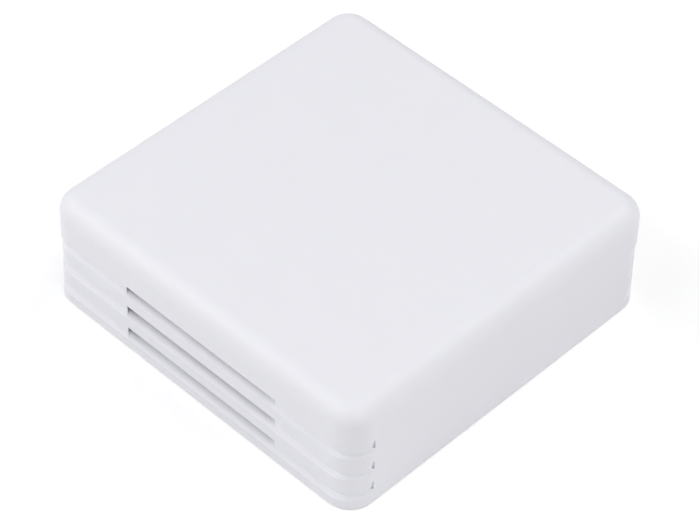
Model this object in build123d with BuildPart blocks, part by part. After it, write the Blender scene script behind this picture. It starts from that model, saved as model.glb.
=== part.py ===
"""Wall-mounted room temperature sensor in a square ribbed housing.

Millimetres. The origin is the centre of the back on the wall, +Z points out
of the wall, +Y up the wall. The vented sides face -Y and +Y. The cover snaps
over a base plate that carries the circuit board.
"""

from build123d import *
from math import cos, pi, radians, sin, sqrt, tan
import os

# Cover
side = 85.0
depth = 27.0
corner_radius = 5.75
front_edge_radius = 4.0
cover_wall = 2.6
cover_roof = 2.4
inner_edge_radius = 1.5
wall_gap = 0.3

# Ribbed sides: grooves run along each vented side and die out round its corners
groove_count = 3
groove_pitch = 5.95
first_lip = 16.65
groove_height = 2.4
groove_depth = 1.15
groove_floor_rise = 45.0
groove_corner_reach = 6.4
rib_setback = 0.05
rib_lean = 1.0
rib_edge_radius = 0.35
vent_length = 41.7
vent_shift = 1.25
vent_rise = 1.15
vent_end_slant = 45.0
vent_floor_run = 2.0
relief_length = 1.8
relief_depth = 0.45
relief_top = 1.5
relief_bottom = 0.8
relief_point = 0.6

# Base plate
cover_fit = 0.25
base_floor = 2.5
rim_height = 1.9
rim_wall = 1.6
cable_width = 30.0
cable_height = 13.0
cable_centre = 17.0
cable_corner_radius = 2.0
screw_spacing = 60.0
screw_slot_width = 4.2
screw_slot_length = 8.0
screw_seat_width = 7.6
screw_seat_sink = 1.0

# Snap tongues
tongue_width = 10.0
tongue_wall = 1.4
tongue_gap = 0.6
barb_reach = 1.2
barb_bottom = 12.0
barb_height = 2.4
barb_flat = 0.4
pocket_clearance = 0.2
rim_notch_clearance = 0.5

# Circuit board
board_width = 50.0
board_bottom_edge = -25.0
board_top_edge = 8.0
board_thickness = 1.6
board_corner_radius = 1.0
post_height = 6.0
post_radius = 2.9
board_hole_inset = 3.0
board_hole_radius = 1.3
arm_width = 10.0
arm_length = 11.0
arm_centre = 17.0
arm_slit = 1.0
arm_slit_length = 3.2

# Board screws
screw_radius = 1.1
screw_thread_clearance = 0.05
screw_length = 6.5
screw_head_radius = 2.1
screw_head_height = 1.5
screw_head_crown = 0.75
cross_width = 0.7
cross_length = 2.4
cross_depth = 0.9

# Terminal block with rising clamps
poles = 4
pole_pitch = 5.0
block_depth = 8.2
block_height = 10.0
block_bevel = 1.6
clamp_width = 3.6
clamp_length = 3.6
clamp_wall = 0.6
clamp_edge_radius = 0.3
clamp_top = 0.9
wire_room = 2.4
clamp_clearance = 0.1
bar_thickness = 0.8
bar_clearance = 0.1
terminal_screw_radius = 1.2
terminal_screw_pitch = 0.45
terminal_screw_turns = 4
terminal_head_radius = 1.7
terminal_head_height = 1.4
terminal_head_bevel = 0.2
thread_clearance = 0.05
tip_clearance = 0.05
well_clearance = 0.1
shoulder = 0.5
slot_drive_width = 0.6
slot_drive_depth = 0.7
wire_funnel = 0.6
mouth_corner_radius = 0.6
pin_width = 0.9
pin_setback = 1.0
pin_below_board = 1.8
pin_hole_clearance = 0.2
block_foot = 0.5

# Address switch
switch_poles = 4
switch_pitch = 2.54
switch_margin = 0.77
switch_depth = 9.8
switch_height = 5.2
switch_bevel = 0.4
slider_width = 1.2
slider_length = 1.5
slider_proud = 0.6
slider_sink = 2.0
slider_edge_radius = 0.15
slider_travel = 1.5
slider_clearance = 0.05
switch_x = -14.0
switch_y = -9.0

# Learn button
button_size = 6.2
button_height = 3.5
button_bevel = 0.3
cap_radius = 1.75
cap_proud = 1.5
cap_sink = 1.6
cap_travel = 0.25
cap_clearance = 0.05
cap_stop_clearance = 0.1
button_x = -12.5
button_y = -20.5

# Chips: package sizes, lead pitch and places on the board
controller_size = 7.0
controller_height = 1.4
controller_leads_per_side = 8
controller_lead_pitch = 0.8
controller_lead_width = 0.35
controller_x = 3.0
controller_y = -10.5
transceiver_width = 4.9
transceiver_depth = 3.9
transceiver_height = 1.5
transceiver_leads_per_side = 4
transceiver_lead_pitch = 1.27
transceiver_lead_width = 0.42
transceiver_x = 18.5
transceiver_y = -7.5
lead_reach = 1.0
lead_foot = 0.55
lead_thickness = 0.15
lead_knee = 0.3
package_standoff = 0.1
package_bevel = 0.15
mark_radius = 0.35
mark_depth = 0.1
regulator_width = 6.5
regulator_depth = 3.5
regulator_height = 1.6
regulator_tab_width = 3.0
regulator_lead_width = 0.7
regulator_lead_pitch = 2.3
regulator_lead_reach = 1.7
regulator_x = 11.5
regulator_y = -15.5
crystal_width = 5.0
crystal_depth = 3.2
crystal_height = 1.1
crystal_base_height = 0.55
crystal_ledge = 0.14
crystal_corner_radius = 0.3
crystal_x = -2.5
crystal_y = -19.0
capacitor_radius = 3.15
capacitor_height = 5.4
capacitor_foot_width = 6.6
capacitor_foot_height = 0.9
capacitor_foot_bevel = 1.2
capacitor_neck_bottom = 0.9
capacitor_neck_height = 0.3
capacitor_neck_sink = 0.15
capacitor_x = 15.0
capacitor_y = 1.5
sensor_size = 2.5
sensor_height = 0.9
sensor_window_radius = 0.6
sensor_window_depth = 0.2
sensor_from_tip = 2.6
led_width = 2.0
led_depth = 1.25
led_height = 0.8
led_carrier_height = 0.27
led_lens_length = 1.2
led_lens_radius = 0.2
led_x = -5.0
led_y = -4.5
header_pins_count = 5
header_pitch = 2.54
header_height = 2.5
header_pin_width = 0.64
header_pin_above = 8.0
header_pin_below = 2.4
header_notch = 0.3
header_pin_point = 0.16
header_x = 9.0
header_y = -22.5
chip_length = 2.0
chip_width = 1.25
resistor_height = 0.55
ceramic_height = 0.95
resistor_places = [
    (-5.5, -8.0), (-5.5, -10.5), (-5.5, -13.0), (12.0, -5.0), (12.0, -7.5),
    (12.0, -10.0), (-9.0, -1.8), (-4.0, -1.8), (1.0, -1.8), (18.5, -13.5),
]
ceramic_places = [
    (3.0, -16.8), (6.5, -16.8), (-2.5, -22.6), (18.5, -2.8), (12.0, -20.1),
    (18.5, -17.5), (6.0, -1.8),
]

# Sizes that follow from the ones above
half = side / 2
cavity = side - 2 * cover_wall
cavity_radius = corner_radius - cover_wall
base_side = cavity - 2 * cover_fit
base_radius = cavity_radius - cover_fit
board_bottom = base_floor + post_height
board_top = board_bottom + board_thickness
board_depth = board_top_edge - board_bottom_edge
board_middle = (board_top_edge + board_bottom_edge) / 2
board_hole_x = board_width / 2 - board_hole_inset
board_hole_y = board_depth / 2 - board_hole_inset
barb_tip = cavity / 2 - tongue_gap + barb_reach
block_width = poles * pole_pitch
clamp_travel = terminal_screw_turns * terminal_screw_pitch
block_y = board_top_edge - block_depth / 2
chamber_floor = board_top + block_foot
clamp_bottom = chamber_floor + clamp_clearance
bar_bottom = clamp_bottom + clamp_wall + wire_room
bar_top = bar_bottom + bar_thickness
clamp_ceiling = bar_top + bar_clearance
chamber_roof = clamp_ceiling + clamp_top + clamp_travel + clamp_clearance
clamp_opening = clamp_width - 2 * clamp_wall
pin_y = block_y - clamp_length / 2 - clamp_clearance - pin_setback
pin_hole_radius = pin_width * sqrt(2) / 2 + pin_hole_clearance
switch_width = switch_poles * switch_pitch + 2 * switch_margin
switch_top = board_top + switch_height
slider_y = switch_y - slider_travel / 2
button_top = board_top + button_height
arm_tip = board_bottom_edge - arm_length

os.makedirs("parts", exist_ok=True)


def save(piece, name):
    """Label a finished piece and write it under its own name."""
    piece.part.label = name
    export_step(piece.part, f"parts/{name}.step")


def rib_face(height):
    """Setback of the ribbed side behind the plain band at a height above the wall."""
    return rib_setback + height * tan(radians(rib_lean))


def lip_heights():
    """Lower edges of the band and of each rib above a groove."""
    return [first_lip - groove_pitch * row for row in range(groove_count)]


def floor_corner(lip):
    """Where a groove's rising floor meets its upright back: setback and height."""
    edge = lip - groove_height
    run = groove_depth - rib_face(edge)
    return groove_depth, edge + run * tan(radians(groove_floor_rise))


def side_path(reach, bend):
    """Path along the lower vented side that turns up round both corners."""
    with BuildLine() as path:
        CenterArc((bend - reach, bend - half), bend, 180, 90)
        Line((bend - reach, -half), (reach - bend, -half))
        CenterArc((reach - bend, bend - half), bend, 270, 90)
    return path.line


def start_plane(reach, bend):
    """Upright plane at the path's start: x points outwards, y up the housing."""
    return Plane(origin=(-reach, bend - half, 0), x_dir=(-1, 0, 0), z_dir=(0, 1, 0))


def groove_cutter(lip):
    """One groove: flat ceiling, upright back, rising floor and a rounded rib edge."""
    back, floor_height = floor_corner(lip)
    edge = lip - groove_height
    rise = radians(groove_floor_rise)
    tangent = rib_edge_radius * tan((pi / 2 - rise) / 2)
    face = -rib_face(edge)
    reach = half + groove_depth
    with BuildPart() as cutter:
        with BuildSketch(start_plane(reach, groove_corner_reach)) as profile:
            with BuildLine():
                roundover_top = (face - tangent * cos(rise), edge + tangent * sin(rise))
                roundover_end = (face, edge - tangent)
                Polyline(
                    (front_edge_radius, roundover_end[1]),
                    (front_edge_radius, lip),
                    (-back, lip),
                    (-back, floor_height),
                    roundover_top,
                )
                TangentArc(roundover_top, roundover_end, tangent=(cos(rise), -sin(rise)))
                Line(roundover_end, (front_edge_radius, roundover_end[1]))
            make_face()
        sweep(profile.sketch, path=side_path(reach, groove_corner_reach))
    return cutter.part


def vent_cutter(lip):
    """One vent: a slot through the wall with slanting ends and a hollow floor."""
    edge = lip - groove_height
    rise = radians(groove_floor_rise)
    slant = tan(radians(vent_end_slant))
    front = rib_face(edge) - half
    level = edge + vent_floor_run * tan(rise / 2)
    ceiling = lip + vent_rise
    outside = -half - groove_depth
    inside = -half + cover_wall + groove_depth
    start = vent_shift - vent_length / 2
    end = vent_shift + vent_length / 2
    with BuildPart() as cutter:
        with BuildSketch(Plane.YZ):
            with BuildLine():
                TangentArc(
                    (front, edge), (front + vent_floor_run, level), tangent=(cos(rise), sin(rise))
                )
                Polyline(
                    (front + vent_floor_run, level),
                    (inside, level),
                    (inside, ceiling),
                    (outside, ceiling),
                    (outside, edge),
                    (front, edge),
                )
            make_face()
        extrude(amount=half, both=True)
        with BuildSketch():
            with BuildLine():
                Polyline(
                    (start - (outside + half) * slant, outside),
                    (end - (outside + half) * slant, outside),
                    (end - (inside + half) * slant, inside),
                    (start - (inside + half) * slant, inside),
                    close=True,
                )
            make_face()
        extrude(amount=depth, mode=Mode.INTERSECT)
    return cutter.part


def relief_cutter(lip):
    """Pockets over both ends of a groove of the lower side, deepest at their end walls."""
    end = groove_corner_reach - half
    with BuildPart() as cutter:
        with BuildSketch(Plane.YZ.offset(half)):
            with BuildLine():
                Polyline(
                    (end, lip + relief_top),
                    (end, lip - relief_bottom),
                    (end - relief_length, lip + relief_point),
                    close=True,
                )
            make_face()
        extrude(amount=-relief_depth)
        with BuildSketch():
            with BuildLine():
                Polyline(
                    (half, end),
                    (half - relief_depth, end),
                    (half, end - relief_length),
                    close=True,
                )
            make_face()
        extrude(amount=depth, mode=Mode.INTERSECT)
        mirror(about=Plane.YZ)
    return cutter.part


def make_front_cover():
    """Square cap with ribbed, vented lower and upper sides."""
    with BuildPart() as shell:
        for height in (wall_gap, first_lip):
            with BuildSketch(Plane.XY.offset(height)):
                RectangleRounded(side, side - 2 * rib_face(height), corner_radius)
        loft(ruled=True)
        with BuildSketch(Plane.XY.offset(first_lip)):
            RectangleRounded(side, side, corner_radius)
        extrude(amount=depth - first_lip)
        fillet(shell.faces().sort_by(Axis.Z)[-1].edges(), front_edge_radius)
        with BuildSketch(Plane.XY.offset(wall_gap)):
            RectangleRounded(cavity, cavity, cavity_radius)
        extrude(amount=depth - cover_roof - wall_gap, mode=Mode.SUBTRACT)
        ceiling = shell.faces().filter_by(Plane.XY).sort_by(Axis.Z)[-2]
        fillet(ceiling.edges(), inner_edge_radius)
        for direction in (-1, 1):
            pocket = Plane.XY.offset(barb_bottom - pocket_clearance)
            with BuildSketch(pocket):
                with Locations((direction * cavity / 2, 0)):
                    Rectangle(
                        2 * (barb_tip + pocket_clearance - cavity / 2),
                        tongue_width + 2 * pocket_clearance,
                    )
            extrude(amount=barb_height + 2 * pocket_clearance, mode=Mode.SUBTRACT)
        for lip in lip_heights():
            for cutter in (groove_cutter(lip), vent_cutter(lip)):
                add(cutter, mode=Mode.SUBTRACT)
                add(cutter.mirror(Plane.XZ), mode=Mode.SUBTRACT)
            add(relief_cutter(lip), mode=Mode.SUBTRACT)
    save(shell, "front_cover")


def make_base_plate():
    """Tray with a low rim, cable opening, slotted screw holes and board posts."""
    with BuildPart() as base:
        with BuildSketch():
            RectangleRounded(base_side, base_side, base_radius)
        extrude(amount=base_floor)
        with BuildSketch(Plane.XY.offset(base_floor)):
            RectangleRounded(base_side, base_side, base_radius)
            RectangleRounded(
                base_side - 2 * rim_wall,
                base_side - 2 * rim_wall,
                base_radius - rim_wall,
                mode=Mode.SUBTRACT,
            )
            Rectangle(
                side,
                tongue_width + 2 * rim_notch_clearance,
                mode=Mode.SUBTRACT,
            )
        extrude(amount=rim_height)
        with BuildSketch(Plane.XY.offset(base_floor)):
            with Locations(*board_holes()):
                Circle(post_radius)
        extrude(amount=post_height)
        with BuildSketch(Plane.XY.offset(board_bottom)):
            with Locations(*board_holes()):
                Circle(screw_radius + screw_thread_clearance)
        extrude(amount=-post_height, mode=Mode.SUBTRACT)
        with BuildSketch():
            with Locations((0, cable_centre)):
                RectangleRounded(cable_width, cable_height, cable_corner_radius)
            with GridLocations(screw_spacing, 0, 2, 1):
                SlotOverall(screw_slot_length, screw_slot_width)
            with GridLocations(0, screw_spacing, 1, 2):
                SlotOverall(screw_slot_length, screw_slot_width, rotation=90)
        extrude(amount=base_floor, mode=Mode.SUBTRACT)
        with BuildSketch(Plane.XY.offset(base_floor)):
            seat_length = screw_slot_length - screw_slot_width + screw_seat_width
            with GridLocations(screw_spacing, 0, 2, 1):
                SlotOverall(seat_length, screw_seat_width)
            with GridLocations(0, screw_spacing, 1, 2):
                SlotOverall(seat_length, screw_seat_width, rotation=90)
        extrude(amount=-screw_seat_sink, mode=Mode.SUBTRACT)
    save(base, "base_plate")


def make_latch_tongues():
    """Two snap tongues that stand on the base floor, with barbs in the cover's pockets."""
    outer = cavity / 2 - tongue_gap
    slope = (barb_height - barb_flat) / 2
    with BuildPart() as tongues:
        with BuildSketch(Plane.XZ):
            with BuildLine():
                Polyline(
                    (outer - tongue_wall, base_floor),
                    (outer, base_floor),
                    (outer, barb_bottom),
                    (barb_tip, barb_bottom + slope),
                    (barb_tip, barb_bottom + slope + barb_flat),
                    (outer, barb_bottom + barb_height),
                    (outer - tongue_wall, barb_bottom + barb_height),
                    close=True,
                )
            make_face()
            mirror(about=Plane.YZ)
        extrude(amount=tongue_width / 2, both=True)
    save(tongues, "latch_tongues")


def board_holes():
    """Places of the board's four screws and posts, for use inside a block."""
    return [
        (x, board_middle + y)
        for x in (-board_hole_x, board_hole_x)
        for y in (-board_hole_y, board_hole_y)
    ]


def pole_centres(y):
    """Places across the terminal block, one for each pole, at one distance up the board."""
    return [((pole - (poles - 1) / 2) * pole_pitch, y) for pole in range(poles)]


def board_outline():
    """Board shape: a rectangle with a slim arm that carries the sensor to the vents."""
    with BuildSketch() as outline:
        with Locations((0, board_middle)):
            RectangleRounded(board_width, board_depth, board_corner_radius)
        with Locations((arm_centre, board_bottom_edge - arm_length / 2 + board_corner_radius)):
            RectangleRounded(
                arm_width, arm_length + 2 * board_corner_radius, board_corner_radius
            )
        neck = board_bottom_edge + arm_slit_length / 2
        for direction in (-1, 1):
            with Locations((arm_centre + direction * (arm_width + arm_slit) / 2, neck)):
                Rectangle(arm_slit, arm_slit_length, mode=Mode.SUBTRACT)
    return outline.sketch


def make_circuit_board():
    """Board on four posts, drilled for its screws and for the wired parts' pins."""
    with BuildPart() as board:
        with BuildSketch(Plane.XY.offset(board_bottom)):
            add(board_outline())
            with Locations(*board_holes()):
                Circle(board_hole_radius, mode=Mode.SUBTRACT)
            with Locations(*pole_centres(pin_y)):
                Circle(pin_hole_radius, mode=Mode.SUBTRACT)
            with Locations((header_x, header_y)):
                with GridLocations(header_pitch, 0, header_pins_count, 1):
                    Circle(
                        header_pin_width * sqrt(2) / 2 + pin_hole_clearance,
                        mode=Mode.SUBTRACT,
                    )
        extrude(amount=board_thickness)
    save(board, "circuit_board")


def make_board_screws():
    """Four self-tapping pan-head screws that hold the board on its posts, one group."""
    with BuildPart() as screws:
        with BuildSketch(Plane.XY.offset(board_top)):
            with Locations(*board_holes()):
                Circle(screw_head_radius)
        extrude(amount=screw_head_height)
        crowns = screws.faces().filter_by(Plane.XY).group_by(Axis.Z)[-1]
        fillet(crowns.edges(), screw_head_crown)
        with BuildSketch(Plane.XY.offset(board_top)):
            with Locations(*board_holes()):
                Circle(screw_radius)
        extrude(amount=-screw_length)
        with BuildSketch(Plane.XY.offset(board_top + screw_head_height)):
            with Locations(*board_holes()):
                Rectangle(cross_length, cross_width)
                Rectangle(cross_width, cross_length)
        extrude(amount=-cross_depth, mode=Mode.SUBTRACT)
    save(screws, "board_screws")


def make_terminal_block():
    """Insulating body: for each pole a screw well, a clamp chamber and a wire mouth."""
    front = Plane.XZ.offset(-block_y - block_depth / 2)
    with BuildPart() as block:
        with BuildSketch(Plane.XY.offset(board_top)):
            with Locations((0, block_y)):
                Rectangle(block_width, block_depth)
        extrude(amount=block_height)
        top_edges = block.edges().filter_by(Axis.X).group_by(Axis.Z)[-1].sort_by(Axis.Y)
        chamfer(top_edges[0], block_bevel)
        with BuildSketch(Plane.XY.offset(chamber_floor)):
            with Locations(*pole_centres(block_y)):
                Rectangle(clamp_width + 2 * clamp_clearance, clamp_length + 2 * clamp_clearance)
        extrude(amount=chamber_roof - chamber_floor, mode=Mode.SUBTRACT)
        with BuildSketch(Plane.XY.offset(chamber_roof)):
            with Locations(*pole_centres(block_y)):
                Circle(terminal_screw_radius + well_clearance)
        extrude(amount=shoulder, mode=Mode.SUBTRACT)
        with BuildSketch(Plane.XY.offset(chamber_roof + shoulder)):
            with Locations(*pole_centres(block_y)):
                Circle(terminal_head_radius + well_clearance)
        extrude(amount=block_height, mode=Mode.SUBTRACT)
        with BuildSketch(front):
            with Locations(*pole_centres(bar_bottom - wire_room / 2)):
                RectangleRounded(clamp_opening, wire_room, mouth_corner_radius)
        extrude(amount=block_depth / 2, mode=Mode.SUBTRACT)
        front_face = block.faces().sort_by(Axis.Y)[-1]
        for mouth in front_face.inner_wires():
            chamfer(mouth.edges(), wire_funnel)
        channel_back = pin_y - pin_width / 2 - bar_clearance
        with BuildSketch(Plane.XY.offset(board_top)):
            with Locations(*pole_centres((channel_back + block_y) / 2)):
                Rectangle(clamp_opening, block_y - channel_back)
        extrude(amount=bar_top + bar_clearance - board_top, mode=Mode.SUBTRACT)
    save(block, "terminal_block")


def make_terminal_contacts():
    """Per pole a flat bar through the clamp and a pin through the board, one group."""
    bar_front = block_y + clamp_length / 2
    bar_back = pin_y - pin_width / 2
    with BuildPart() as contacts:
        with BuildSketch(Plane.XY.offset(bar_bottom)):
            with Locations(*pole_centres((bar_front + bar_back) / 2)):
                Rectangle(clamp_opening - 2 * bar_clearance, bar_front - bar_back)
        extrude(amount=bar_thickness)
        with BuildSketch(Plane.XY.offset(bar_bottom)):
            with Locations(*pole_centres(pin_y)):
                Rectangle(pin_width, pin_width)
        extrude(amount=board_bottom - pin_below_board - bar_bottom)
    save(contacts, "terminal_contacts")


def make_wire_clamp(number, x):
    """Rising clamp: a rectangular ring whose top is threaded on the terminal screw."""
    ring_height = clamp_ceiling + clamp_top - clamp_bottom
    with BuildPart() as clamp:
        with BuildSketch(Plane.XY.offset(clamp_bottom)):
            with Locations((x, block_y)):
                Rectangle(clamp_width, clamp_length)
        extrude(amount=ring_height)
        fillet(clamp.edges().filter_by(Axis.Y), clamp_edge_radius)
        with BuildSketch(Plane.XZ.offset(-block_y)):
            with Locations((x, (clamp_bottom + clamp_wall + clamp_ceiling) / 2)):
                Rectangle(clamp_opening, clamp_ceiling - clamp_bottom - clamp_wall)
        extrude(amount=clamp_length, both=True, mode=Mode.SUBTRACT)
        with BuildSketch(Plane.XY.offset(clamp_ceiling)):
            with Locations((x, block_y)):
                Circle(terminal_screw_radius + thread_clearance)
        extrude(amount=clamp_top, mode=Mode.SUBTRACT)
    save(clamp, f"wire_clamp_{number}")


def make_terminal_screw(number, x):
    """Slotted screw: its head sits on the well's shoulder, its tip near the bar."""
    head_bottom = chamber_roof + shoulder + tip_clearance
    tip = bar_top + tip_clearance
    with BuildPart() as screw:
        with BuildSketch(Plane.XY.offset(tip)):
            with Locations((x, block_y)):
                Circle(terminal_screw_radius)
        extrude(amount=head_bottom - tip)
        with BuildSketch(Plane.XY.offset(head_bottom)):
            with Locations((x, block_y)):
                Circle(terminal_head_radius)
        extrude(amount=terminal_head_height)
        chamfer(screw.faces().sort_by(Axis.Z)[-1].edges(), terminal_head_bevel)
        with BuildSketch(Plane.XY.offset(head_bottom + terminal_head_height)):
            with Locations((x, block_y)):
                Rectangle(2 * terminal_head_radius, slot_drive_width)
        extrude(amount=-slot_drive_depth, mode=Mode.SUBTRACT)
    save(screw, f"terminal_screw_{number}")


def make_dip_switch():
    """Switch body with one window for each slider."""
    with BuildPart() as body:
        with BuildSketch(Plane.XY.offset(board_top)):
            with Locations((switch_x, switch_y)):
                Rectangle(switch_width, switch_depth)
        extrude(amount=switch_height)
        chamfer(body.faces().sort_by(Axis.Z)[-1].edges(), switch_bevel)
        with BuildSketch(Plane.XY.offset(switch_top)):
            with Locations((switch_x, switch_y)):
                with GridLocations(switch_pitch, 0, switch_poles, 1):
                    Rectangle(
                        slider_width + 2 * slider_clearance,
                        slider_length + slider_travel + 2 * slider_clearance,
                    )
        extrude(amount=-slider_sink - slider_clearance, mode=Mode.SUBTRACT)
    save(body, "dip_switch")


def make_dip_slider(number):
    """One slider, at the end of its window nearest the lower vents."""
    x = switch_x + (number - 1 - (switch_poles - 1) / 2) * switch_pitch
    with BuildPart() as slider:
        with BuildSketch(Plane.XY.offset(switch_top - slider_sink)):
            with Locations((x, slider_y)):
                Rectangle(slider_width, slider_length)
        extrude(amount=slider_sink + slider_proud)
        fillet(slider.faces().sort_by(Axis.Z)[-1].edges(), slider_edge_radius)
    save(slider, f"dip_slider_{number}")


def make_push_button():
    """Button body with a round bore, and its cap over a short travel."""
    bore_depth = cap_sink + cap_travel + cap_stop_clearance
    with BuildPart() as body:
        with BuildSketch(Plane.XY.offset(board_top)):
            with Locations((button_x, button_y)):
                Rectangle(button_size, button_size)
        extrude(amount=button_height)
        chamfer(body.edges().filter_by(Axis.Z), button_bevel)
        with BuildSketch(Plane.XY.offset(button_top)):
            with Locations((button_x, button_y)):
                Circle(cap_radius + cap_clearance)
        extrude(amount=-bore_depth, mode=Mode.SUBTRACT)
    save(body, "push_button")
    with BuildPart() as cap:
        with BuildSketch(Plane.XY.offset(button_top - cap_sink)):
            with Locations((button_x, button_y)):
                Circle(cap_radius)
        extrude(amount=cap_sink + cap_proud)
        fillet(cap.faces().sort_by(Axis.Z)[-1].edges(), button_bevel)
    save(cap, "button_cap")


def make_package(name, x, y, width, deep, high):
    """Moulded chip body with bevelled edges and a round mark by its first lead."""
    with BuildPart() as package:
        with BuildSketch(Plane.XY.offset(board_top + package_standoff)):
            with Locations((x, y)):
                Rectangle(width, deep)
        extrude(amount=high - package_standoff)
        chamfer(package.faces().sort_by(Axis.Z)[-1].edges(), package_bevel)
        with BuildSketch(Plane.XY.offset(board_top + high)):
            inset = package_bevel + 2 * mark_radius
            with Locations((x - width / 2 + inset, y - deep / 2 + inset)):
                Circle(mark_radius)
        extrude(amount=-mark_depth, mode=Mode.SUBTRACT)
    save(package, name)


def make_leads(name, x, y, high, rows):
    """Bent leads from a package's sides down to the board, one group.

    Each row gives the side's direction in degrees, the distance from the
    package's middle to that side, the number of leads, their pitch, their
    width and their reach.
    """
    exit_height = high / 2
    with BuildPart() as leads:
        for heading, to_side, count, pitch, width, reach in rows:
            out = Vector(cos(radians(heading)), sin(radians(heading)), 0)
            along = Vector(-out.Y, out.X, 0)
            for index in range(count):
                offset_along = (index - (count - 1) / 2) * pitch
                root = Vector(x, y, board_top) + out * to_side + along * offset_along
                with BuildSketch(Plane(origin=root, x_dir=out, z_dir=-along)):
                    with BuildLine():
                        Polyline(
                            (0, exit_height),
                            (lead_knee, exit_height),
                            (reach - lead_foot, 0),
                            (reach, 0),
                            (reach, lead_thickness),
                            (reach - lead_foot + lead_thickness, lead_thickness),
                            (lead_knee + lead_thickness, exit_height + lead_thickness),
                            (0, exit_height + lead_thickness),
                            close=True,
                        )
                    make_face()
                extrude(amount=width / 2, both=True)
    save(leads, name)


def make_chips():
    """Controller, bus transceiver and voltage regulator with their leads."""
    make_package(
        "microcontroller", controller_x, controller_y,
        controller_size, controller_size, controller_height,
    )
    controller_row = (
        controller_size / 2, controller_leads_per_side, controller_lead_pitch,
        controller_lead_width, lead_reach,
    )
    make_leads(
        "microcontroller_leads", controller_x, controller_y, controller_height,
        [(heading, *controller_row) for heading in (0, 90, 180, 270)],
    )
    make_package(
        "bus_transceiver", transceiver_x, transceiver_y,
        transceiver_width, transceiver_depth, transceiver_height,
    )
    transceiver_row = (
        transceiver_depth / 2, transceiver_leads_per_side, transceiver_lead_pitch,
        transceiver_lead_width, lead_reach,
    )
    make_leads(
        "transceiver_leads", transceiver_x, transceiver_y, transceiver_height,
        [(heading, *transceiver_row) for heading in (90, 270)],
    )
    make_package(
        "voltage_regulator", regulator_x, regulator_y,
        regulator_width, regulator_depth, regulator_height,
    )
    to_side = regulator_depth / 2
    make_leads(
        "regulator_leads", regulator_x, regulator_y, regulator_height,
        [
            (270, to_side, 3, regulator_lead_pitch, regulator_lead_width, regulator_lead_reach),
            (90, to_side, 1, regulator_lead_pitch, regulator_tab_width, regulator_lead_reach),
        ],
    )


def make_crystal():
    """Low metal can on a slightly wider ceramic base."""
    lid_width = crystal_width - 2 * crystal_ledge
    lid_depth = crystal_depth - 2 * crystal_ledge
    with BuildPart() as crystal:
        with BuildSketch(Plane.XY.offset(board_top)):
            with Locations((crystal_x, crystal_y)):
                RectangleRounded(crystal_width, crystal_depth, crystal_corner_radius)
        extrude(amount=crystal_base_height)
        with BuildSketch(Plane.XY.offset(board_top + crystal_base_height)):
            with Locations((crystal_x, crystal_y)):
                RectangleRounded(lid_width, lid_depth, crystal_corner_radius)
        extrude(amount=crystal_height - crystal_base_height)
        fillet(crystal.faces().sort_by(Axis.Z)[-1].edges(), crystal_ledge)
    save(crystal, "crystal")


def make_filter_capacitor():
    """Upright aluminium can on a square plastic foot with two cut corners."""
    foot_top = board_top + capacitor_foot_height
    with BuildPart() as foot:
        with BuildSketch(Plane.XY.offset(board_top)):
            with Locations((capacitor_x, capacitor_y)):
                Rectangle(capacitor_foot_width, capacitor_foot_width)
        extrude(amount=capacitor_foot_height)
        chamfer(
            foot.edges().filter_by(Axis.Z).group_by(Axis.X)[-1],
            capacitor_foot_bevel,
        )
    save(foot, "capacitor_foot")
    axis_foot = (capacitor_x, capacitor_y, foot_top)
    section = Plane(origin=axis_foot, x_dir=(1, 0, 0), z_dir=(0, -1, 0))
    with BuildPart() as can:
        with BuildSketch(section):
            with BuildLine():
                neck = capacitor_radius - capacitor_neck_sink
                neck_bottom = capacitor_neck_bottom + capacitor_neck_sink
                neck_top = neck_bottom + capacitor_neck_height
                Polyline(
                    (0, 0),
                    (capacitor_radius, 0),
                    (capacitor_radius, capacitor_neck_bottom),
                    (neck, neck_bottom),
                    (neck, neck_top),
                    (capacitor_radius, neck_top + capacitor_neck_sink),
                    (capacitor_radius, capacitor_height - capacitor_neck_sink),
                    (neck, capacitor_height),
                    (0, capacitor_height),
                    close=True,
                )
            make_face()
        revolve(axis=Axis(axis_foot, (0, 0, 1)))
    save(can, "filter_capacitor")


def make_temperature_sensor():
    """Digital temperature sensor near the tip of the board's arm, with a round window."""
    middle = arm_tip + sensor_from_tip
    with BuildPart() as sensor:
        with BuildSketch(Plane.XY.offset(board_top)):
            with Locations((arm_centre, middle)):
                Rectangle(sensor_size, sensor_size)
        extrude(amount=sensor_height)
        chamfer(sensor.faces().sort_by(Axis.Z)[-1].edges(), package_bevel)
        with BuildSketch(Plane.XY.offset(board_top + sensor_height)):
            with Locations((arm_centre, middle)):
                Circle(sensor_window_radius)
        extrude(amount=-sensor_window_depth, mode=Mode.SUBTRACT)
    save(sensor, "temperature_sensor")


def make_status_led():
    """Small indicator: a flat carrier with a raised lens."""
    with BuildPart() as led:
        with BuildSketch(Plane.XY.offset(board_top)):
            with Locations((led_x, led_y)):
                Rectangle(led_width, led_depth)
        extrude(amount=led_carrier_height)
        with BuildSketch(Plane.XY.offset(board_top + led_carrier_height)):
            with Locations((led_x, led_y)):
                Rectangle(led_lens_length, led_depth)
        extrude(amount=led_height - led_carrier_height)
        fillet(led.faces().sort_by(Axis.Z)[-1].edges().filter_by(Axis.Y), led_lens_radius)
    save(led, "status_led")


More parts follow.
